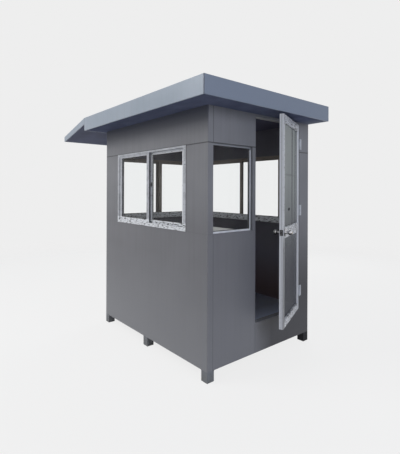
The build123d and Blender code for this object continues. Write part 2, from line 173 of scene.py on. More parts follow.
def belts(rings):
    """Four-sided faces between each ring of point numbers and the next."""
    near, far = rings[:-1], rings[1:]
    return np.stack([near, np.roll(near, -1, 1), np.roll(far, -1, 1), far], -1).reshape(-1, 4)


def carry(profile, corners, axis, closed=True):
    """A profile carried along straight runs. A profile point's first value goes outwards, along the
    cross product of the run and the axis, and its second goes along the axis. At a corner, outwards
    is the sum of both runs' outward directions over one plus their dot product, which keeps each
    run's width."""
    profile, corners, axis = (np.asarray(values, float) for values in (profile, corners, axis))
    runs = np.roll(corners, -1, 0) - corners if closed else np.diff(corners, axis=0)
    outward = np.cross(runs / np.linalg.norm(runs, axis=1)[:, None], axis)
    before = np.roll(outward, 1, 0) if closed else np.concatenate([outward[:1], outward])
    after = outward if closed else np.concatenate([outward, outward[-1:]])
    mitre = (before + after) / (1 + (before * after).sum(1))[:, None]
    points = corners[:, None] + profile[:, :1] * mitre[:, None] + profile[:, 1:] * axis
    rows, columns = points.shape[:2]
    ids = np.arange(rows * columns).reshape(rows, columns)
    faces = [belts(np.vstack([ids, ids[:1]]))] if closed else [belts(ids), ids[:1, ::-1], ids[-1:]]
    return facing_out(points.reshape(-1, 3), faces)


def joined(*shapes):
    """Several shapes as one: points one after the other, and faces counted on from the last shape."""
    starts = np.cumsum([0] + [len(points) for points, groups in shapes])
    return (np.concatenate([points for points, groups in shapes]),
            [group + start for start, (points, groups) in zip(starts, shapes) for group in groups])


def in_scene(name, data):
    """A new object with this data, in the scene."""
    made = bpy.data.objects.new(name, data)
    bpy.context.scene.collection.objects.link(made)
    return made


def piece(name, shape, material, body="cabin", smooth=False):
    """A new object that rides on a body, from one shape's points and groups of faces."""
    points, groups = shape
    mesh = bpy.data.meshes.new(name)
    mesh.from_pydata(points.tolist(), [], [face for group in groups for face in group.tolist()])
    mesh.polygons.foreach_set("use_smooth", np.full(len(mesh.polygons), smooth))
    if smooth:
        mesh.set_sharp_from_angle(angle=math.radians(40))
    mesh.materials.append(material)
    made = in_scene(name, mesh)
    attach(made, body)


def node_points(name):
    """All the points of a CAD node's mesh."""
    points = np.empty(len(node[name].data.vertices) * 3)
    node[name].data.vertices.foreach_get("co", points)
    return points.reshape(-1, 3)


def solids(name, moved=lambda points: points):
    """The lowest and highest corner of each separate solid in a CAD node, lowest first. Points in one
    place count as one, each starts as its own group, and the points of every triangle take the
    lowest group among them until nothing changes."""
    mesh = node[name].data
    mesh.calc_loop_triangles()
    corners = np.empty(len(mesh.loop_triangles) * 3, int)
    mesh.loop_triangles.foreach_get("vertices", corners)
    places, same = np.unique(node_points(name).round(5), axis=0, return_inverse=True)
    triangles = same.reshape(-1)[corners].reshape(-1, 3)
    group, last = np.arange(len(places)), None
    while last is None or (group != last).any():
        last = group.copy()
        np.minimum.at(group, triangles, last[triangles].min(1)[:, None])
    places = moved(places)
    boxes = [(places[group == each].min(0), places[group == each].max(0)) for each in np.unique(group)]
    return sorted(boxes, key=lambda box: box[0].round(4).tolist())


# Fillet welds: a rounded bead on each inner side of a foot, under the wall frame.
WELD = 0.005
weld_profile = WELD * np.array([(-0.2, 0), (1, 0), (0.85, -0.5), (0.5, -0.85), (0, -1), (-0.2, -1)])
deck_low, deck_high = (np.array(corner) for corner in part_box("floor_deck"))
cabin_middle = (deck_low + deck_high) / 2


def foot_weld(low, high):
    """A bead along the sides of a foot that look into the floor, from the wall's outer face round the
    foot and back. A corner foot has two such sides, and a middle foot three."""
    side = math.copysign(1, cabin_middle[1] - low[1])
    outer, inner = (low[1], high[1]) if side > 0 else (high[1], low[1])
    corner_foot = low[0] < foot_low.x + WELD or high[0] > foot_high.x - WELD
    if corner_foot and high[0] < cabin_middle[0]:
        path = [(low[0], inner), (high[0], inner), (high[0], outer)]
    elif corner_foot:
        path = [(low[0], outer), (low[0], inner), (high[0], inner)]
    else:
        path = [(low[0], outer), (low[0], inner), (high[0], inner), (high[0], outer)]
    corners = [(x, y, high[2]) for x, y in path]
    return carry(weld_profile, corners[::-1] if side > 0 else corners, (0, 0, 1), closed=False)


piece("foot_welds", joined(*[foot_weld(low, high) for low, high in solids("feet")]), brushed_paint)

# ---------------------------------------- floor
# Steel joists in dark primer between the long walls, and on them a board covered with blue-grey
# vinyl sheet that feet have scuffed.
PRIMER = "#35363A"
PRIMER_RUST = "#4A3A33"
VINYL = "#A3AABC"
VINYL_DOORWAY_LIGHT = "#D2DCF2"
VINYL_SCUFF = "#B2B6C0"
VINYL_GRIT = "#7C808B"
DOORWAY_LIGHT_NEAR, DOORWAY_LIGHT_FAR = 0.05, 0.30

# Zinc primer sprayed on hot-rolled steel: dull, even and dark, with thin rust along scratches.
primed_steel, place = new_finish("sprayed_primer_on_steel")
rusty = over(PRIMER, PRIMER_RUST, cloudy(place, (0.09, 0.03, 0.03), 0.62, 0.72, 5.0))
surface(place, rusty, 0.7, {"Normal": relief(place, 0.003, 0.2, 0.0003)})
coat(primed_steel, "floor_joists")

# Homogeneous vinyl: half gloss, printed with flecks a few millimetres long, scuffed in wide soft patches
# where people stand, and painted paler just inside the door end with the light that falls in through the
# doorway.
vinyl_sheet, place = new_finish("scuffed_vinyl_sheet")
vinyl = over(VINYL, VINYL_GRIT, cloudy(place, 0.006, 0.55, 0.65, 1.0))
scuffs = cloudy(place, (0.25, 0.16, 0.25), 0.42, 0.75, 6.0)
vinyl = over(vinyl, VINYL_SCUFF, scuffs)
# Painted light: paler just inside the door end, where light falls in through the doorway.
vinyl = over(vinyl, VINYL_DOORWAY_LIGHT, fade(place, "X", -DOORWAY_LIGHT_FAR, -DOORWAY_LIGHT_NEAR, 0.0, 0.9))
worn = add(place, "ShaderNodeMapRange", {"Value": scuffs, "To Min": 0.32, "To Max": 0.55})
surface(place, vinyl, worn.outputs[0])
coat(vinyl_sheet, "floor_deck")

# ---------------------------------------- walls
# Sandwich panels: grey coated metal sheet outside, a dark lining inside. The panels meet in open
# joints 4 mm wide, which are filled with sealant pressed a little below the face.
PANEL = "#77787D"
PANEL_PALE = "#7F8085"
PANEL_DIRT = "#66656A"
PANEL_GROUND_LIGHT = "#8B8C91"
DOORWAY_DARKER = "#303138"
LINING = "#55545D"
LINING_PALE = "#5F5E67"
LINING_LOWER = "#73717C"
LINING_BROWNER_LOW = "#7E6A6A"
EAVE_SHADE = "#474A57"
JOINT_DIRT = "#3A3A3E"
THRESHOLD_WORN = "#A6A8AE"
GROUND_LIGHT_TOP = 1.05
DOORWAY_DARKER_LOW, DOORWAY_DARKER_HIGH = 0.55, 1.45
EAVE_SHADE_LOW, EAVE_SHADE_HIGH = 2.20, 2.42
JOINT_GRIME = 0.006
wall_low = np.array(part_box("front_lower_wall")[0])
wall_high = np.maximum(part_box("front_lower_wall")[1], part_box("back_upper_wall")[1])
doorway_low, doorway_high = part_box("doorway_sill_wall")
sill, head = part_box("front_lower_wall")[1].z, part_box("front_upper_wall")[0].z


def band(place, axis, start=-10.0, end=10.0):
    """1 where the place lies between two levels along one axis, and 0 elsewhere: it is compared with
    the middle of the band, to within half the band's width."""
    level = add(place, "ShaderNodeSeparateXYZ", {"Vector": place}).outputs[axis]
    return add(place, "ShaderNodeMath", {
        0: level, 1: float(start + end) / 2, 2: float(end - start) / 2}, operation="COMPARE").outputs[0]


def indoors(place, spare=0.004):
    """1 inside the room and 0 outside it: the floor deck's bands along X and Y, with a little to
    spare at each end."""
    return product(*[band(place, axis, deck_low[i] - spare, deck_high[i] + spare)
                     for i, axis in enumerate("XY")])


# Polyester-coated sheet: half matt and smooth, uneven in tone over half a metre, streaked by rain, and
# paler towards its foot with painted light bounced up from the ground. It is darker low down beside the
# doorway, grime lies along the joint at the window head, painted shade lies under the front eave, and the
# threshold is worn pale. The grain is drawn at 5 mm, coarser than it is, to show. The lining indoors is
# paler below the sills and browner near the floor.
panel_coating, place = new_finish("polyester_coated_sheet")
outside = over(PANEL, PANEL_PALE, cloudy(place, (0.7, 0.7, 0.5), 0.35, 0.65, 2.0))
outside = over(outside, PANEL_DIRT, cloudy(place, (0.035, 0.035, 0.9), 0.45, 0.8, 4.0), 0.30)
outside = over(outside, PANEL_DIRT, fade(place, "Z", sill + 0.05, sill + 0.25, 0.35, 0.0))
# Painted light: paler towards the foot, standing in for light bounced up from the ground, and less so on
# the door end.
outside = over(outside, PANEL_GROUND_LIGHT, fade(place, "Z", foot_high.z, GROUND_LIGHT_TOP, 0.85, 0.0),
               fade(place, "X", -0.011, -0.010, 1.0, 0.6))
# Darker low down on the door end's face beside the doorway.
outside = over(outside, DOORWAY_DARKER,
               fade(place, "Z", DOORWAY_DARKER_LOW, DOORWAY_DARKER_HIGH, 0.96, 0.0, "SMOOTHSTEP"),
               fade(place, "Y", doorway_low.y - 0.03, doorway_low.y + 0.25, 0.0, 1.0),
               fade(place, "X", -0.035, 0.0, 0.0, 1.0))
outside = over(outside, JOINT_DIRT, band(place, "Z", head - JOINT_GRIME, head + JOINT_GRIME), 0.6)
# Painted shade: darker under the front eave, where the eave shades the wall.
outside = over(outside, EAVE_SHADE, fade(place, "Z", EAVE_SHADE_LOW, EAVE_SHADE_HIGH, 0.0, 0.9),
               band(place, "Y", end=0.01))
facing = add(place, "ShaderNodeNewGeometry").outputs["Normal"]
outside = over(outside, THRESHOLD_WORN, band(facing, "Z", start=0.5),
               band(place, "Z", end=deck_high[2] + 0.01))
lining = over(LINING, LINING_PALE, cloudy(place, (0.3, 0.3, 0.6), 0.35, 0.65))
lining = over(lining, LINING_LOWER, fade(place, "Z", sill - 0.35, sill))
# Browner near the floor.
lining = over(lining, LINING_BROWNER_LOW, fade(place, "Z", deck_high[2] + 0.1, deck_high[2] + 0.5, 0.9))
both_sides = over(outside, lining, indoors(place))
surface(place, both_sides, 0.45, {"Normal": relief(place, 0.005, 0.08, 0.0004)})
coat(panel_coating, *[f"{side}_{part}" for side in ("front", "back", "visor_end")
                      for part in ("lower_wall", "window_piers", "upper_wall")],
     "side_light_lower_wall", "side_light_upper_wall", "doorway_mullion", "doorway_sill_wall",
     "hinge_side_wall", "hinge_side_upper_wall", "doorway_head", "door_stops")

# Neutral silicone: dark grey, smooth from the tool, and faintly glossy, with a film of dust that is
# pale from the sills down, where rain splashes it.
SEALANT = "#232427"
SEALANT_DUST = "#38383B"
SEALANT_LOW = "#67686D"
JOINT = 0.004
silicone, place = new_finish("tooled_silicone")
dusty = over(SEALANT, SEALANT_DUST, cloudy(place, (0.02, 0.02, 0.05), 0.4, 0.75, 4.0))
surface(place, over(dusty, SEALANT_LOW, band(place, "Z", end=sill + JOINT)), 0.38)

joint_profile = JOINT * np.array([(-0.5, -1), (0.5, -1), (0.5, -0.2), (0.2, -0.38), (-0.2, -0.38),
                                  (-0.5, -0.2)])
eaves, bottom = wall_high[2], wall_low[2]
front_window, end_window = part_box("front_window_frame"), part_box("visor_end_window_frame")
side_light_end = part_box("side_light_frame")[1].y
# Sealant stops this far short of a corner, and of the middle of a joint that it meets.
skin = JOINT * 0.25
half = JOINT / 2


def sealed_joint(start, end, facing):
    """Sealant along one open joint, pressed a little below the face that looks along facing."""
    return carry(joint_profile, [start, end], facing, closed=False)


joints = []
for level in (sill, head):
    for y, facing in ((wall_low[1], (0, -1, 0)), (wall_high[1], (0, 1, 0))):
        for start, end in ((wall_low[0] + skin, front_window[0].x), (front_window[1].x, -skin)):
            joints.append(sealed_joint((start, y, level), (end, y, level), facing))
    for x, facing, runs in (
            (wall_low[0], (-1, 0, 0), ((JOINT, deck_low[1] - half), (deck_low[1] + half, end_window[0].y),
                                       (end_window[1].y, deck_high[1] - half),
                                       (deck_high[1] + half, wall_high[1] - JOINT))),
            (wall_high[0], (1, 0, 0), ((JOINT, deck_low[1] - half), (side_light_end, doorway_low.y)))):
        joints += [sealed_joint((x, start, level), (x, end, level), facing) for start, end in runs]
joints.append(sealed_joint((wall_high[0], doorway_high.y, head),
                           (wall_high[0], wall_high[1] - JOINT, head), (1, 0, 0)))
for x, y, facing, runs in (
        (wall_low[0], deck_low[1], (-1, 0, 0), ((bottom, eaves),)),
        (wall_low[0], deck_high[1], (-1, 0, 0), ((bottom, eaves),)),
        (wall_high[0], deck_low[1], (1, 0, 0), ((bottom, sill - half), (head + half, eaves))),
        (wall_high[0], doorway_low.y, (1, 0, 0), ((bottom, doorway_high.z),)),
        (deck_high[0], wall_high[1], (0, 1, 0), ((bottom, eaves),))):
    joints += [sealed_joint((x, y, start), (x, y, end), facing) for start, end in runs]
piece("panel_joint_sealant", joined(*joints), silicone)

# ---------------------------------------- windows
# Sliding windows of extruded aluminium in three walls: a frame with two channels, two sashes that
# meet in the middle, and float glass held by black rubber gaskets.
WINDOW_METAL = "#A6A9AF"
WINDOW_FILM = "#B9BCC3"
WINDOW_WHITE_FILM_AND_LIGHT = "#E2E5EA"
WINDOW_BROWN = "#7F7770"
WINDOW_PRINT = "#33343A"
BOTTOM_RAIL = 0.070
BEHIND_FRONT = 0.1
INNER_SASH_REACH = 0.035
FEWER_ABOVE = 0.085
GLASS_TINT = "#FEFFFF"
RUBBER = "#1D1D1F"
RUBBER_DUST = "#3A3A3A"
GLASS_BITE = 0.008
GASKET_WIDTH = 0.0055
GASKET_HEIGHT = 0.003
SEALANT_LEG = 0.005
SEALANT_RISE = 0.0028

# Anodised aluminium under its protective film: satin, with fine die lines along each length. The film is
# milky, whiter on the bottom rails and the front window's inner sash, where painted light also lifts their
# shade, and brown on the room side of the other windows. Print, torn edges and dirt lie on it in short dark
# dashes, thickest low down.
window_metal, place = new_finish("filmed_anodised_aluminium")
film = cloudy(place, 0.10, 0.42, 0.58, 2.0)
filmed = over(WINDOW_METAL, WINDOW_FILM, film)
# Painted light: the front window's inner sash is whitened against the shadow that the outer sash's stile
# casts on it.
filmed = over(filmed, WINDOW_WHITE_FILM_AND_LIGHT, indoors(place, INNER_SASH_REACH), band(place, "Y", end=BEHIND_FRONT))
facing = add(place, "ShaderNodeNewGeometry").outputs["Normal"]
filmed = over(filmed, WINDOW_BROWN, band(facing, "Y", end=0.5), band(facing, "X", start=-0.5),
              band(place, "Y", start=BEHIND_FRONT))
above_rail = fade(place, "Z", sill + BOTTOM_RAIL, sill + BOTTOM_RAIL + 0.010, 0.0, 1.0)
# Painted light: the bottom rails are whitened against the shade in their recess, over milky film.
filmed = over(WINDOW_WHITE_FILM_AND_LIGHT, filmed, above_rail)
torn = add(place, "ShaderNodeMath", {
    0: cloudy(place, (0.045, 0.045, 0.008), 0.0, 1.0), 1: product(above_rail, FEWER_ABOVE)},
    operation="SUBTRACT")
dashes = add(place, "ShaderNodeMapRange", {"Value": torn.outputs[0], "From Min": 0.54, "From Max": 0.60})
filmed = over(filmed, WINDOW_PRINT, dashes.outputs[0], 0.9)
satin = add(place, "ShaderNodeMapRange", {"Value": film, "To Min": 0.36, "To Max": 0.48})
surface(place, filmed, satin.outputs[0], {
    "Metallic": 0.3, "Normal": relief(place, (0.3, 0.3, 0.0015), 0.15, 0.0003)})
coat(window_metal, *[f"{side}_window_{part}" for side in ("front", "back", "visor_end")
                     for part in ("frame", "sashes")])

# Float glass: clear and faintly green, flat enough to mirror, with a thin uneven haze of dust.
float_glass, place = new_finish("float_glass")
haze = cloudy(place, (0.2, 0.2, 0.3), 0.3, 0.8, 5.0, 0.0, 0.01)
surface(place, GLASS_TINT, haze, {"IOR": 1.13, "Transmission Weight": 1.0})
coat(float_glass, *[f"{side}_window_glass" for side in ("front", "back", "visor_end")])

# EPDM rubber: nearly black and matt, paler where dust has settled.
rubber, place = new_finish("epdm_rubber")
surface(place, over(RUBBER, RUBBER_DUST, cloudy(place, 0.015, 0.5, 0.8, 4.0)), 0.65)


def rim(low, high, inset):
    """The rectangle round a thin flat box, that far inside its edges and in its middle plane, with
    the box's thin axis and half its thickness. The corners turn to the left about that axis, so that
    a carried profile's first value goes outwards."""
    size = high - low
    thin = int(np.argmin(size))
    right, up = (thin + 1) % 3, (thin + 2) % 3
    corners = np.tile((low + high) / 2, (4, 1))
    corners[:, right] += (size[right] / 2 - inset) * np.array([-1, 1, 1, -1])
    corners[:, up] += (size[up] / 2 - inset) * np.array([-1, -1, 1, 1])
    return corners, np.eye(3)[thin], size[thin] / 2


def gaskets(low, high):
    """Wedges of rubber on both faces of a pane, round the opening in its sash: a slope from a thin
    lip on the glass up to the sash."""
    corners, axis, face = rim(low, high, GLASS_BITE)
    wedge = np.array([(0, face), (-GASKET_WIDTH, face), (-GASKET_WIDTH, face + GASKET_HEIGHT / 4),
                      (-GASKET_WIDTH / 2, face + GASKET_HEIGHT * 0.7), (0, face + GASKET_HEIGHT)])
    return joined(carry(wedge, corners, axis), carry(wedge * (1, -1), corners, axis))


def rounded_plate(width, height, radius, layers):
    """A plate that grows along local Z, as rings of one rounded rectangle: each layer is an inset and
    a level. A ring's points are a corner's centre plus its radius, less the inset, times the cosine
    and sine of an angle, a quarter turn at each corner."""
    steps = 6
    angles = (np.linspace(0, np.pi / 2, steps) + np.arange(4)[:, None] * np.pi / 2).ravel()
    signs = np.repeat([(1, 1), (-1, 1), (-1, -1), (1, -1)], steps, axis=0)
    centres = signs * (np.array([width, height]) / 2 - radius)
    turns = np.stack([np.cos(angles), np.sin(angles)], 1)
    rings = [np.column_stack([centres + (radius - inset) * turns, np.full(len(turns), level)])
             for inset, level in layers]
    ids = np.arange(len(layers) * len(turns)).reshape(len(layers), -1)
    return facing_out(np.concatenate(rings), [belts(ids), ids[:1, ::-1], ids[-1:]])


def set_on(shape, centre, right):
    """A shape drawn about the origin, stood upright at a place with its X along right."""
    points, groups = shape
    axes = np.array([right, (0, 0, 1), np.cross(right, (0, 0, 1))], float)
    return facing_out(points @ axes + np.asarray(centre, float), groups)


# Polypropylene brush pile: black, matt, in fine tufts that stand out from its backing.
PILE_BLACK = "#1C1C1F"
PILE_GREY = "#38383C"
PILE_FROM_FRAME = 0.022
pile, place = new_finish("polypropylene_pile")
surface(place, over(PILE_BLACK, PILE_GREY, cloudy(place, (0.004, 0.004, 0.002), 0.35, 0.7)), 0.9)
pile_profile = 0.001 * np.array([(-0.5, -4), (0.6, -4), (2.4, -3), (3.0, -1.5), (3.0, 1.5), (2.4, 3),
                                 (0.6, 4), (-0.5, 4)])

# The latch that hooks the inner sash: a black nylon plate on the meeting stile, and its thumb slide.
LATCH_WIDTH, LATCH_HEIGHT = 0.018, 0.046
LATCH_ABOVE_SILL = 0.450
LATCH_FROM_MIDDLE = 0.035
NYLON = "#232427"
NYLON_WORN = "#4A4B4E"
nylon, place = new_finish("moulded_nylon")
surface(place, over(NYLON, NYLON_WORN, cloudy(place, 0.008, 0.5, 0.8, 4.0)), 0.42)
latch_plate = rounded_plate(LATCH_WIDTH, LATCH_HEIGHT, 0.006, [
    (0, 0), (0, 0.002), (0.0006, 0.003), (0.0015, 0.0034)])
thumb_slide = rounded_plate(0.009, 0.016, 0.003, [
    (0, 0.003), (0, 0.0075), (0.0008, 0.0088), (0.002, 0.0092)])
latch = joined(latch_plate, thumb_slide)

for side, outward in (("front", (0, -1, 0)), ("back", (0, 1, 0)), ("visor_end", (-1, 0, 0))):
    outward = np.array(outward, float)
    panes = solids(f"{side}_window_glass")
    piece(f"{side}_window_gaskets", joined(*[gaskets(*pane) for pane in panes]), rubber)

    # Sealant between the frame and the panels: a concave fillet all round, on the wall's face.
    low, high = (np.array(corner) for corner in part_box(f"{side}_window_frame"))
    corners, axis, face = rim(low, high, 0)
    thin = int(np.argmax(np.abs(outward)))
    corners[:, thin] = (wall_low if outward[thin] < 0 else wall_high)[thin]
    fillet = np.array([(-0.0005, 0), (SEALANT_LEG, 0), (SEALANT_LEG * 0.35, SEALANT_RISE * 0.3),
                       (0, SEALANT_RISE), (-0.0005, SEALANT_RISE)]) * (1, outward @ axis)
    piece(f"{side}_window_sealant", carry(fillet, corners, axis), silicone)

    # The latch stands on the meeting stile of the inner sash, on that sash's side of the middle.
    inner = min(solids(f"{side}_window_sashes"), key=lambda box: (box[0] + box[1]) @ outward)
    right = np.cross((0, 0, 1), outward)
    middle = (low + high) / 2
    towards = np.sign(((inner[0] + inner[1]) / 2 - middle) @ right)
    centre = middle + right * towards * LATCH_FROM_MIDDLE
    centre[thin] = inner[0 if outward[thin] < 0 else 1][thin]
    centre[2] = sill + LATCH_ABOVE_SILL
    piece(f"{side}_window_latch", set_on(latch, centre, right), nylon)

    # A brush seal on the free edge of the outer sash's meeting stile, which sweeps the inner sash.
    outer = max(solids(f"{side}_window_sashes"), key=lambda box: (box[0] + box[1]) @ outward)
    edge = (outer[0] + outer[1]) / 2 + right * towards * ((outer[1] - outer[0]) @ np.abs(right)) / 2
    ends = [(*edge[:2], low[2] + PILE_FROM_FRAME), (*edge[:2], high[2] - PILE_FROM_FRAME)]
    piece(f"{side}_window_pile", carry(pile_profile * (towards, 1), ends, outward, closed=False), pile)

# ---------------------------------------- side light
# A narrow fixed light between the corner and the doorway: a slim aluminium frame set back in the
# wall, one pane, and the gaskets that hold it.
SIDE_LIGHT_METAL = "#F0F2F5"
SIDE_LIGHT_DULL = "#E2E5EA"
SIDE_LIGHT_HEAD_SHADE = "#8D9097"

# Bare anodised aluminium: satin and pale, with die lines and faint dull patches, and painted grey shade
# under the head, where the wall shades it.
bare_metal, place = new_finish("anodised_aluminium")
dull_and_head_shade = over(SIDE_LIGHT_METAL, SIDE_LIGHT_DULL, cloudy(place, (0.08, 0.08, 0.2), 0.4, 0.6))
# Painted shade: grey under the head, where the wall above shades the frame.
dull_and_head_shade = over(dull_and_head_shade, SIDE_LIGHT_HEAD_SHADE, band(place, "Z", start=head - 0.03))
surface(place, dull_and_head_shade, 0.42, {
    "Metallic": 0.1, "Normal": relief(place, (0.0015, 0.0015, 0.3), 0.12, 0.0003)})
coat(bare_metal, "side_light_frame")
coat(float_glass, "side_light_glass")
piece("side_light_gaskets", joined(*[gaskets(*pane) for pane in solids("side_light_glass")]), rubber)

# ---------------------------------------- counter
# A writing shelf along the front wall, of chipboard faced with pale laminate, on three steel
# brackets screwed to the wall.
LAMINATE = "#C0C2C0"
LAMINATE_WORN = "#B3B5B1"
LAMINATE_EDGE = "#868785"
EDGE_BAND = 0.0005
counter_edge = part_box("counter_top")[1].y

# High-pressure laminate: pale, smooth and half gloss, worn in soft patches, with a darker edge band.
laminate, place = new_finish("high_pressure_laminate")
worn = over(LAMINATE, LAMINATE_WORN, cloudy(place, (0.2, 0.12, 0.2), 0.4, 0.7, 5.0))
worn = over(worn, LAMINATE_EDGE, band(place, "Y", start=counter_edge - EDGE_BAND))
surface(place, worn, 0.35, {"Normal": relief(place, 0.004, 0.06, 0.0002)})
coat(laminate, "counter_top")
coat(primed_steel, "counter_brackets")

# ---------------------------------------- roof
# Fascias of coated sheet round a flat roof, a dark soffit under it, and a roof deck of grey membrane
# inside the fascias. The corner joints are sealed.
FASCIA = "#949FAC"
FASCIA_PALE = "#9BA5B2"
FASCIA_DIRT = "#868F9B"
FASCIA_END_SHADE = "#788395"
VISOR_SEAM = 0.004
CORNER_SEAM = 0.0035
SOFFIT_SHADE = "#5E647A"
SOFFIT_PALE = "#6A7087"
SOFFIT_CORNER_REFLECTION = "#979CAA"
VISOR_SOFFIT_SHADE = "#6A6D7E"
VISOR_SOFFIT_PALE = "#72768A"
CEILING = "#505060"
MEMBRANE = "#7C7E82"
MEMBRANE_DUST = "#8F8D88"

# Metallic grey coating: satin, a little uneven in tone, with faint runs of dirt, and painted shade that
# makes the door end's fascia darker and bluer. Flush lines of sealant run where the visor meets the flat
# roof and down the front corner.
fascia_coating, place = new_finish("satin_coated_sheet")
visor_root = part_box("visor_end_fascia")[0].x
corner_x, corner_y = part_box("door_end_fascia")[1].x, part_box("front_fascia")[0].y
shades = over(FASCIA, FASCIA_PALE, cloudy(place, (0.35, 0.35, 0.2), 0.35, 0.65))
shades = over(shades, FASCIA_DIRT, cloudy(place, (0.03, 0.03, 0.4), 0.5, 0.8, 4.0), 0.35)
# Painted shade: the door end's fascia is darker and bluer, as if in shade.
shades = over(shades, FASCIA_END_SHADE, band(place, "X", start=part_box("door_end_fascia")[0].x))
shades = over(shades, SEALANT, band(place, "X", visor_root - VISOR_SEAM / 2, visor_root + VISOR_SEAM / 2))
shades = over(shades, SEALANT, band(place, "X", start=corner_x - CORNER_SEAM),
              band(place, "Y", end=corner_y + CORNER_SEAM))
surface(place, shades, 0.4, {"Metallic": 0.15, "Normal": relief(place, 0.005, 0.06, 0.0004)})
coat(fascia_coating, "front_fascia", "back_fascia", "door_end_fascia", "visor_end_fascia",
     "visor_side_trims", "visor_tip_trim", "visor_top_sheet")

# Coated soffit sheet, darkened with painted shade: matt outside the walls, with a painted reflection that
# makes it paler at the back corner by the door, and a dull dark ceiling inside.
soffit_coating, place = new_finish("soffit_sheet_in_painted_shade")
# Painted shade: the sheet's grey is darkened to the shade under the eaves.
tone = over(SOFFIT_SHADE, SOFFIT_PALE, cloudy(place, (0.3, 0.2, 0.3), 0.35, 0.65, 4.0))
# Painted reflection: paler towards the back corner by the door, where the sheet mirrors the bright
# surroundings.
tone = over(tone, SOFFIT_CORNER_REFLECTION, band(place, "X", start=-0.01),
            fade(place, "Y", wall_high[1] - 0.25, wall_high[1] + 0.02, 0.0, 1.0))
tone = over(tone, CEILING, indoors(place))
surface(place, tone, 0.8, {"Specular IOR Level": 0.0})
coat(soffit_coating, "roof_soffit")

# The visor's underside, in the same sheet with its matt primed side out: chalky, with no gloss, and
# darkened with painted shade.
primed_sheet, place = new_finish("matt_primed_sheet_in_painted_shade")
# Painted shade: the underside's grey is darkened to the shade under the visor.
tone = over(VISOR_SOFFIT_SHADE, VISOR_SOFFIT_PALE, cloudy(place, 0.25, 0.35, 0.65, 4.0))
surface(place, tone, 0.8, {"Specular IOR Level": 0.1})
coat(primed_sheet, "visor_bottom_sheet")

# Bitumen membrane with mineral grit: matt and grey, dustier where water has stood.
membrane, place = new_finish("gritted_membrane")
dusty = over(MEMBRANE, MEMBRANE_DUST, cloudy(place, 0.4, 0.4, 0.7, 6.0))
surface(place, dusty, 0.85, {"Normal": relief(place, 0.003, 0.4, 0.001)})
coat(membrane, "roof_deck")

# ---------------------------------------- door
# A glazed leaf of wide aluminium sections, standing ajar, with one pane above the lock rail and one
# below. Snap-in beads and gaskets hold the glass on both faces.
DOOR_METAL = "#B7BAC1"
DOOR_METAL_DULL = "#A7AAB1"
DOOR_METAL_BRIGHT = "#D4D7DE"
DOOR_METAL_RAIL = "#C8CBD1"
DOOR_METAL_BEAD_LIGHT = "#DCDEE4"
DOOR_METAL_SMUT = "#505156"
DOOR_GLASS = "#DDE1DE"
DOOR_GLASS_LOW = "#8A8B90"
DOOR_GLASS_STREAK = "#74777A"
DOOR_GLASS_MARK = "#18191B"
RAIL_FROM_EDGE = 0.056
RUBBED_NEAR, RUBBED_FAR = 0.004, 0.008
HINGE_BEAD_NEAR, HINGE_BEAD_FAR = 0.045, 0.063
CLEAN_NEAR, CLEAN_FAR = 0.055, 0.075
GROOVE_HALF = 0.004
ARRIS = 0.008
ARRIS_LOW, ARRIS_HIGH = 1.15, 1.35
SMOKE_LOW, SMOKE_HIGH = 0.75, 2.0
DARK_BANDS_FROM_HINGE_EDGE = (0.125, 0.275)
DARK_BAND_HALF_WIDTH = 0.036
# From the hinge edge, height, half width and half height.
LEVEL_DARK_BAND = 0.38, 1.854, 0.26, 0.016
DARK_MARK = 0.41, 1.510, 0.040, 0.018
BEAD_WIDTH = 0.006
BEAD_HEIGHT = 0.011
swing = next(joint for joint in frame["joints"] if joint["name"] == "door_swing")
pin = np.array(swing["pos_m"])
ajar = -math.radians(swing["range_deg"][0])
cosine, sine = math.cos(ajar), math.sin(ajar)
OPENED = np.array([(cosine, sine, 0), (-sine, cosine, 0), (0, 0, 1)])


def opened(shape):
    """A shape drawn on the shut door, turned about the hinge pins to where the door stands ajar."""
    points, groups = shape
    return (points - pin) @ OPENED + pin, groups


def shut(points):
    """Points of the door as it stands, turned back about the hinge pins to where it is shut."""
    return (points - pin) @ OPENED.T + pin


leaf_low = np.min([low for low, high in solids("door_stiles", shut)], axis=0)
leaf_high = np.max([high for low, high in solids("door_stiles", shut)], axis=0)


def on_shut_leaf(place):
    """The place turned back about the hinge pins, where X goes through the leaf and Y across it."""
    return add(place, "ShaderNodeVectorRotate", {
        "Vector": place, "Center": pin.tolist(), "Angle": -ajar}, rotation_type="Z_AXIS").outputs[0]


def greatest(share, *others):
    """The greatest of several shares."""
    for other in others:
        share = add(share, "ShaderNodeMath", {0: share, 1: other}, operation="MAXIMUM").outputs[0]
    return share


# Anodised aluminium, duller than the windows': satin, with die lines and smutty handling marks. The lock
# edge is rubbed bright, with painted shade along a groove down its middle and a dark outer corner low down.
# The rails keep milky film that is torn in dark flecks, and the bead beside the hinge stile is painted
# pale, a painted light that lifts the shade beside that stile.
door_metal, place = new_finish("dull_anodised_aluminium")
leaf = on_shut_leaf(place)
metal = over(DOOR_METAL, DOOR_METAL_DULL, cloudy(place, (0.15, 0.15, 0.5), 0.35, 0.65, 4.0))
lock_edge = fade(leaf, "Y", leaf_low[1] + RUBBED_NEAR, leaf_low[1] + RUBBED_FAR, 0.8)
metal = over(metal, DOOR_METAL_BRIGHT, lock_edge)
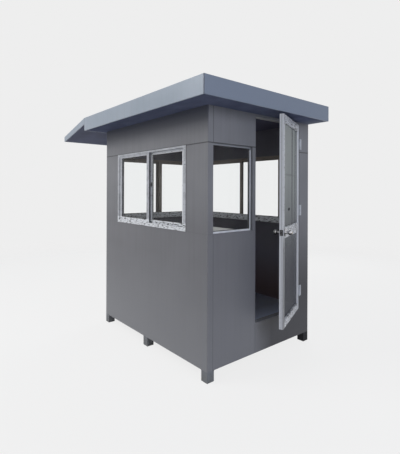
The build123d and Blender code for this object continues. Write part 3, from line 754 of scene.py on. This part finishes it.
# Painted light: the bead beside the hinge stile is made pale against the shade that falls beside that
# stile.
metal = over(metal, DOOR_METAL_BEAD_LIGHT,
             band(leaf, "Y", leaf_high[1] - HINGE_BEAD_FAR, leaf_high[1] - HINGE_BEAD_NEAR))
rails = band(leaf, "Y", leaf_low[1] + RAIL_FROM_EDGE, leaf_high[1] - RAIL_FROM_EDGE)
metal = over(metal, DOOR_METAL_RAIL, rails)
marks = greatest(product(cloudy(place, (0.030, 0.030, 0.007), 0.54, 0.62, 2.0),
                         cloudy(place, (0.12, 0.12, 0.10), 0.38, 0.52, 2.0)),
                 product(cloudy(place, (0.045, 0.045, 0.010), 0.55, 0.58, 1.0), rails, 0.85))
hinge_stile = fade(leaf, "Y", leaf_high[1] - CLEAN_FAR, leaf_high[1] - CLEAN_NEAR, 0.0, 1.0)
for clean in (hinge_stile, lock_edge):
    marks = add(place, "ShaderNodeMath", {0: marks, 1: clean}, operation="SUBTRACT",
                use_clamp=True).outputs[0]
lock_stile = band(leaf, "Y", end=leaf_low[1] + RAIL_FROM_EDGE)
through = (leaf_low[0] + leaf_high[0]) / 2
# Painted shade: a dark line down the middle of the lock edge, for the shade in its groove.
groove_shade = product(band(leaf, "X", through - GROOVE_HALF, through + GROOVE_HALF), lock_stile, 0.4)
arris = product(band(leaf, "X", start=leaf_high[0] - ARRIS), lock_stile,
                fade(place, "Z", ARRIS_LOW, ARRIS_HIGH, 0.7))
metal = over(metal, DOOR_METAL_SMUT, greatest(marks, groove_shade, arris))
surface(place, metal, 0.42, {
    "Metallic": 0.4, "Normal": relief(place, (0.0015, 0.0015, 0.4), 0.15, 0.0003)})
coat(door_metal, "door_stiles", "door_rails")


def oval(leaf, from_hinge_edge, level, half_width, half_height):
    """1 in an oval on the leaf, falling to 0 over its outer two fifths: the distance from its middle,
    with each direction divided by half the oval's size."""
    offset = add(leaf, "ShaderNodeVectorMath", {
        0: leaf, 1: (0.0, leaf_high[1] - from_hinge_edge, level)}, operation="SUBTRACT")
    offset = add(leaf, "ShaderNodeVectorMath", {
        0: offset.outputs[0], 1: (0.0, 1 / half_width, 1 / half_height)}, operation="MULTIPLY")
    reach = add(leaf, "ShaderNodeVectorMath", {0: offset.outputs[0]}, operation="LENGTH")
    return add(leaf, "ShaderNodeMapRange", {
        "Value": reach.outputs["Value"], "From Min": 0.6, "From Max": 1.0, "To Min": 1.0,
        "To Max": 0.0}).outputs[0]


# Float glass under a smoke-grey film, darker low down, hazy with dust and finger marks. The upper pane is
# darker in thin streaks and two wide soft bands, in one level band and in one dark mark.
door_glass, place = new_finish("smoked_float_glass")
leaf = on_shut_leaf(place)
upward = fade(place, "Z", SMOKE_LOW, SMOKE_HIGH, 0.0, 1.0, "SMOOTHSTEP")
streaks = [product(cloudy(place, (0.014, 0.014, 0.9), 0.42, 0.62), upward, 0.2),
           product(oval(leaf, *LEVEL_DARK_BAND), 0.3)]
for middle in leaf_high[1] - np.array(DARK_BANDS_FROM_HINGE_EDGE):
    streaks.append(product(fade(leaf, "Y", middle - DARK_BAND_HALF_WIDTH, middle, 0.0, 0.85),
                           fade(leaf, "Y", middle, middle + DARK_BAND_HALF_WIDTH), upward))
smoked = over(DOOR_GLASS_LOW, DOOR_GLASS, upward)
smoked = over(smoked, DOOR_GLASS_STREAK, greatest(*streaks))
smoked = over(smoked, DOOR_GLASS_MARK, oval(leaf, *DARK_MARK))
haze = cloudy(place, (0.12, 0.12, 0.2), 0.3, 0.8, 6.0, 0.20, 0.28)
surface(place, smoked, haze, {"IOR": 1.03, "Transmission Weight": 0.65})
coat(door_glass, "door_glass")


def glazing_beads(low, high):
    """Aluminium beads on both faces of a pane: a foot beside the gasket, a face that rounds over at
    its outer edge, and a flat side on the stile."""
    corners, axis, face = rim(low, high, GLASS_BITE)
    foot, top = face + GASKET_HEIGHT / 2, face + GASKET_HEIGHT / 2 + BEAD_HEIGHT
    bead = np.array([(0, foot), (-BEAD_WIDTH, foot), (-BEAD_WIDTH, top - 0.003),
                     (-BEAD_WIDTH + 0.001, top - 0.001), (-BEAD_WIDTH + 0.003, top), (0, top)])
    return joined(carry(bead, corners, axis), carry(bead * (1, -1), corners, axis))


def bead_gaskets(low, high):
    """A thin lip of rubber between each bead and the glass, standing a little out from the bead."""
    corners, axis, face = rim(low, high, GLASS_BITE)
    top = face + GASKET_HEIGHT / 2
    lip = np.array([(-BEAD_WIDTH + 0.003, face), (-BEAD_WIDTH - 0.002, face),
                    (-BEAD_WIDTH - 0.0012, top), (-BEAD_WIDTH + 0.003, top)])
    return joined(carry(lip, corners, axis), carry(lip * (1, -1), corners, axis))


panes = solids("door_glass", shut)
piece("door_glazing_beads", opened(joined(*[glazing_beads(*pane) for pane in panes])), door_metal,
      "door")

# The same rubber bleached grey and dusty round the lower pane, and still black round the upper one.
RUBBER_BLEACHED = "#5A5B60"
RUBBER_CHALKY = "#77787C"
grey_rubber, place = new_finish("grey_epdm_rubber")
lips = over(RUBBER_BLEACHED, RUBBER_CHALKY, cloudy(place, 0.015, 0.5, 0.8, 4.0))
surface(place, over(lips, RUBBER, band(place, "Z", start=sill)), 0.65)
piece("door_gaskets", opened(joined(*[bead_gaskets(*pane) for pane in panes])), grey_rubber, "door")

# Latch in the lock stile's edge: a blackened faceplate with its bolt drawn back, and the strike plate
# on the jamb.
STEEL_DULL = "#949496"
BLACKENED = "#2A2A2E"
PLATE_WIDTH, PLATE_HEIGHT = 0.031, 0.057
BOLT_REACH = 0.0025
knob_height = sum(corner.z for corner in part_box("door_knobs")) / 2

# Steel blackened in oil: nearly black and half gloss, worn to bare grey in spots.
blackened, place = new_finish("oil_blackened_steel")
worn = over(BLACKENED, STEEL_DULL, cloudy(place, 0.008, 0.5, 0.8))
surface(place, worn, 0.35, {"Metallic": 0.8})

faceplate = rounded_plate(PLATE_WIDTH, PLATE_HEIGHT, 0.003, [(0, -0.0002), (0, 0.0006), (0.0004, 0.001)])
bolt = rounded_plate(0.013, 0.016, 0.001, [(0, 0.0005), (0, BOLT_REACH - 0.0006), (0.0007, BOLT_REACH)])
plate_place = ((leaf_low[0] + leaf_high[0]) / 2, leaf_low[1], knob_height)
piece("latch_faceplate", opened(set_on(joined(faceplate, bolt), plate_place, (1, 0, 0))), blackened, "door")
strike_place = (plate_place[0], doorway_low.y, knob_height)
piece("strike_plate", set_on(faceplate, strike_place, (-1, 0, 0)), blackened)

# Foam tape on the stops, that the shut door presses.
TAPE = 0.002
TAPE_HALF_WIDTH = 0.004
tape_profile = np.array([(-TAPE_HALF_WIDTH, 0), (TAPE_HALF_WIDTH, 0), (TAPE_HALF_WIDTH, TAPE * 0.7),
                         (TAPE_HALF_WIDTH - 0.001, TAPE), (0.001 - TAPE_HALF_WIDTH, TAPE),
                         (-TAPE_HALF_WIDTH, TAPE * 0.7)])
tapes = []
for low, high in solids("door_stops"):
    middle = (low[1] + high[1]) / 2
    ends = [(high[0], middle, low[2] + TAPE), (high[0], middle, high[2] - TAPE)]
    tapes.append(carry(tape_profile, ends, (1, 0, 0), closed=False))
piece("door_stop_tape", joined(*tapes), rubber)

# ---------------------------------------- hinges
# Three butt hinges in white powder coating, each leaf held by four cross-head screws.
HINGE_WHITE = "#C4C7CC"
HINGE_GREY = "#9A9DA2"
SCREW_RADIUS = 0.0038
SCREW_DOME = 0.0009
CROSS_WIDTH, CROSS_REACH = 0.26, 0.62  # shares of the head's radius
SCREW_ZINC = "#BFC0C2"
SCREW_FROM_PIN = 0.0225
HINGE_LEAF = 0.003

# Powder coating on steel: white, half gloss, with the fine orange peel that the oven leaves, and
# grime in patches.
powder_coat, place = new_finish("white_powder_coating")
grimy = over(HINGE_WHITE, HINGE_GREY, cloudy(place, (0.02, 0.02, 0.03), 0.5, 0.8, 5.0))
surface(place, grimy, 0.35, {"Normal": relief(place, 0.002, 0.12, 0.0002)})
coat(powder_coat, "cabin_hinge_halves", "door_hinge_halves")

# Zinc-plated steel: bright and slightly blue, dulled in spots.
zinc, place = new_finish("zinc_plated_steel")
spotted = over(SCREW_ZINC, STEEL_DULL, cloudy(place, 0.003, 0.5, 0.8))
surface(place, spotted, 0.35, {"Metallic": 1.0})


def fan(pole, ring):
    """Triangles from each edge of a ring of point numbers to one pole."""
    return np.stack([np.full(len(ring), pole), np.roll(ring, -1), ring], -1)


def screw_head(radius, dome, rings=9, spokes=48):
    """A cross-head screw seen from above, as a disc of rings and spokes about local Z. Its height is
    the dome times one less the square of the distance from the middle over the radius, and inside
    the cross it is the recess floor. A skirt goes down to the plate."""
    share = np.concatenate([np.linspace(0, 1, rings)[1:], [1.0]])
    angles = np.arange(spokes) * 2 * np.pi / spokes
    x, y = share[:, None] * np.cos(angles), share[:, None] * np.sin(angles)
    recess = (np.minimum(np.abs(x), np.abs(y)) < CROSS_WIDTH / 2) & (share[:, None] < CROSS_REACH)
    level = dome * (1 - share[:, None] ** 2) * ~recess - dome * 0.8 * recess + dome * 0.15
    level[-1] = -dome
    ring_points = np.stack([x * radius, y * radius, level], -1).reshape(-1, 3)
    points = np.concatenate([ring_points, [(0, 0, -dome * 0.65)]])
    ids = np.arange(len(share) * spokes).reshape(len(share), spokes)
    return facing_out(points, [belts(ids), fan(len(ring_points), ids[0]), ids[-1:, ::-1]])


def hinge_screws(boxes, from_pin):
    """Four screw heads up the outer face of each leaf, at a distance to one side of the pin."""
    heights = np.concatenate([np.linspace(low[2], high[2], 6)[1:-1] for low, high in boxes])
    head = screw_head(SCREW_RADIUS, SCREW_DOME)
    return joined(*[set_on(head, (wall_high[0] + HINGE_LEAF, pin[1] + from_pin, height), (0, 1, 0))
                    for height in heights])


cabin_halves = solids("cabin_hinge_halves")
piece("cabin_hinge_screws", hinge_screws(cabin_halves, SCREW_FROM_PIN), zinc)
piece("door_hinge_screws", opened(hinge_screws(cabin_halves, -SCREW_FROM_PIN)), zinc, "door")

# ---------------------------------------- knobs
# Turned stainless knobs on round roses. The outer one has a key cylinder in its face, and the inner
# one a turn button.
STEEL = "#B6B6B8"
STEEL_DARK_REFLECTION = "#202024"
BRASS = "#B59A5B"
BRASS_DULL = "#8C7749"
knob_across = np.mean(solids("knob_roses", shut), axis=(0, 1))[1]
inner_end, outer_end = np.sort(shut(node_points("door_knobs"))[:, 0])[[0, -1]]

# Stainless steel, satin polished: bright, with small dull marks, and a painted dark reflection on the
# underside.
stainless, place = new_finish("satin_stainless_steel")
steel = over(STEEL, STEEL_DULL, cloudy(place, 0.012, 0.45, 0.75, 5.0))
# Painted reflection: dark below the knobs' middle, where the steel mirrors the dark surroundings below.
steel = over(steel, STEEL_DARK_REFLECTION,
             fade(place, "Z", knob_height - 0.010, knob_height + 0.004, 0.92, 0.0, "SMOOTHSTEP"))
rough = cloudy(place, 0.02, 0.3, 0.7, 3.0, 0.12, 0.24)
surface(place, steel, rough, {"Metallic": 1.0})
coat(stainless, "door_knobs", "knob_roses")


def turned(profile, steps=40):
    """A profile of distances from local Z and levels along it, from the axis out and back to the
    axis, turned about Z: a point goes to its distance times the cosine and sine of the angle."""
    profile = np.asarray(profile, float)
    angles = np.arange(steps) * 2 * np.pi / steps
    rings = profile[1:-1]
    x, y = rings[:, :1] * np.cos(angles), rings[:, :1] * np.sin(angles)
    ring_points = np.stack([x, y, np.broadcast_to(rings[:, 1:], x.shape)], -1).reshape(-1, 3)
    points = np.concatenate([ring_points, [(0, 0, profile[0, 1]), (0, 0, profile[-1, 1])]])
    ids = np.arange(len(ring_points)).reshape(-1, steps)
    poles = [fan(len(ring_points), ids[0]), fan(len(ring_points) + 1, ids[-1, ::-1])]
    return facing_out(points, [belts(ids), *poles])


# Brass: warm yellow metal, dulled by handling.
brass, place = new_finish("turned_brass")
surface(place, over(BRASS, BRASS_DULL, cloudy(place, 0.004, 0.4, 0.7, 4.0)), 0.3, {"Metallic": 1.0})
cylinder = turned([(0, -0.001), (0.0072, -0.001), (0.0072, 0.0006), (0.0066, 0.0012), (0.0060, 0.0012),
                   (0.0056, 0.0007), (0, 0.0007)])
outer_face = (outer_end, knob_across, knob_height)
piece("key_cylinder", opened(set_on(cylinder, outer_face, (0, 1, 0))), brass, "knob", smooth=True)
key_slot = rounded_plate(0.0012, 0.0064, 0.0005, [(0, 0.0004), (0, 0.00085)])
piece("key_slot", opened(set_on(key_slot, outer_face, (0, 1, 0))), rubber, "knob")
button_base = turned([(0, -0.001), (0.008, -0.001), (0.008, 0.001), (0.007, 0.002), (0, 0.002)])
button_bar = rounded_plate(0.016, 0.005, 0.0024, [
    (0, 0.0015), (0, 0.006), (0.0006, 0.0074), (0.0016, 0.008)])
inner_face = (inner_end, knob_across, knob_height)
piece("turn_button", opened(set_on(joined(button_base, button_bar), inner_face, (0, -1, 0))),
      stainless, "knob", smooth=True)

# ---------------------------------------- studio
# A plain pale floor that runs out into a pale background, soft light from the sky all round, and
# three large soft lamps: a strong one high at the front, and weaker ones at the door end and back.
BACKGROUND = "#EEEEEE"
SKY = "#DCE2EC"
SKY_STRENGTH = 0.34
FLOOR_LIT = "#D0D0D0"
FLOOR_SEEN = "#F9F9F9"
FLOOR_RADIUS = 9.0
FLOOR_FADE = 5.0
FLOOR_CORNERS = 96
SEEN_PALE = 0.85
LAMP_SIZE = 3.5


def seen_rays(beside):
    """1 for rays from the camera, and for those that metal or glass has mirrored or let through."""
    rays = add(beside, "ShaderNodeLightPath").outputs
    return greatest(rays["Is Camera Ray"], rays["Is Glossy Ray"], rays["Is Transmission Ray"])


spokes = np.arange(FLOOR_CORNERS) * 2 * np.pi / FLOOR_CORNERS
floor_points = np.column_stack([FLOOR_RADIUS * np.cos(spokes) + cabin_middle[0],
                                FLOOR_RADIUS * np.sin(spokes) + cabin_middle[1], 0 * spokes])
floor_mesh = bpy.data.meshes.new("studio_floor")
floor_mesh.from_pydata(floor_points.tolist(), [], [list(range(FLOOR_CORNERS))])
in_scene("studio_floor", floor_mesh)

# Matt paper that is lit as plain grey, is seen nearly white, and fades into the background.
floor_paper, place = new_finish("studio_floor_paper")
lit = add(place, "ShaderNodeBsdfDiffuse", {"Color": FLOOR_LIT})
pale = add(place, "ShaderNodeEmission", {"Color": FLOOR_SEEN, "Strength": 1.0})
paper = add(place, "ShaderNodeMixShader", {
    0: product(seen_rays(place), SEEN_PALE), 1: lit.outputs[0], 2: pale.outputs[0]})
away = add(place, "ShaderNodeVectorMath", {0: place, 1: (*cabin_middle[:2], 0)}, operation="DISTANCE")
faded = add(place, "ShaderNodeMapRange", {
    "Value": away.outputs["Value"], "From Min": FLOOR_FADE, "From Max": FLOOR_RADIUS},
    interpolation_type="SMOOTHSTEP")
clear = add(place, "ShaderNodeBsdfTransparent")
shown = add(place, "ShaderNodeMixShader", {0: faded.outputs[0], 1: paper.outputs[0], 2: clear.outputs[0]})
add(place, "ShaderNodeOutputMaterial", {"Surface": shown.outputs[0]})
floor_mesh.materials.append(floor_paper)

world = bpy.data.worlds.new("studio")
bpy.context.scene.world = world
world.use_nodes = True
tree = world.node_tree
tree.nodes.clear()
sky = add(tree, "ShaderNodeBackground", {"Color": SKY, "Strength": SKY_STRENGTH})
backdrop = add(tree, "ShaderNodeBackground", {"Color": BACKGROUND, "Strength": 1.0})
either = add(tree, "ShaderNodeMixShader", {0: seen_rays(tree), 1: sky.outputs[0], 2: backdrop.outputs[0]})
add(tree, "ShaderNodeOutputWorld", {"Surface": either.outputs[0]})


def lamp(name, place, watts, shade):
    """A square soft lamp that faces the middle of the front wall, and that no view shows."""
    data = bpy.data.lights.new(name, "AREA")
    data.shape = "SQUARE"
    data.size = LAMP_SIZE
    data.energy = watts
    data.color = linear(shade)[:3]
    made = in_scene(name, data)
    made.location = place
    aim = Vector((cabin_middle[0], 0, sill)) - made.location
    made.rotation_euler = aim.to_track_quat("-Z", "Y").to_euler()
    made.visible_camera = made.visible_transmission = False


lamp("key_lamp", (-3.2, -4.6, 6.0), 280, "#FFFDFA")
lamp("side_lamp", (6.0, 0.5, 3.5), 132, "#EBF0FF")
lamp("back_lamp", (-3.5, 5.5, 4.0), 120, "#FFFFFF")

camera = in_scene("camera", bpy.data.cameras.new("camera"))
camera.location = (2.417, -2.096, 1.70)
camera.rotation_euler = (math.radians(90), -0.0037, math.radians(50.29))
camera.data.sensor_width = 36
camera.data.lens = 28.97
camera.data.shift_y = -0.0816
bpy.context.scene.camera = camera
bpy.context.scene.view_settings.view_transform = "Standard"
